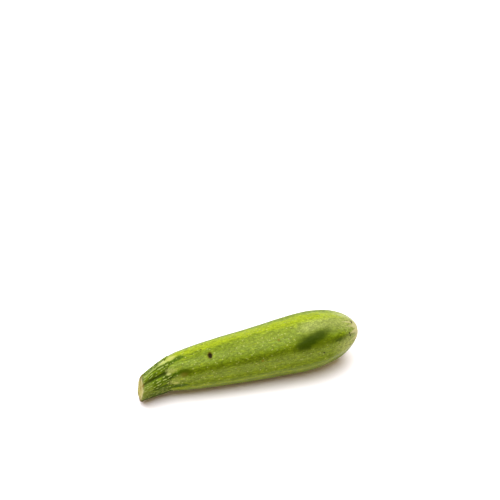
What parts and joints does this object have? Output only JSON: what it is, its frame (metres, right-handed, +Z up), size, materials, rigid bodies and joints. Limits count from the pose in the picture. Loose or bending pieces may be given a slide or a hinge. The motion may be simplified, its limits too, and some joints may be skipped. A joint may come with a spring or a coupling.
{
  "type": "zucchini",
  "caption": "Light green zucchini lying on its belly, with low lengthwise ribs and the cut stub of its ridged stem, to eat or to dress a kitchen scene.",
  "frame": {"origin": "on the surface it lies on, under the middle of its box", "axes": "+X along the fruit from the cut stem to the blossom scar, +Y across it, away from the side that the stem hooks to, +Z up"},
  "size_m": [0.168, 0.043, 0.0428],
  "materials": {
    "fruit_skin": "satin",
    "stem_skin": "matte"
  },
  "bodies": {
    "root": {"fruit": "fruit_skin", "stem": "stem_skin"}
  },
  "joints": []
}
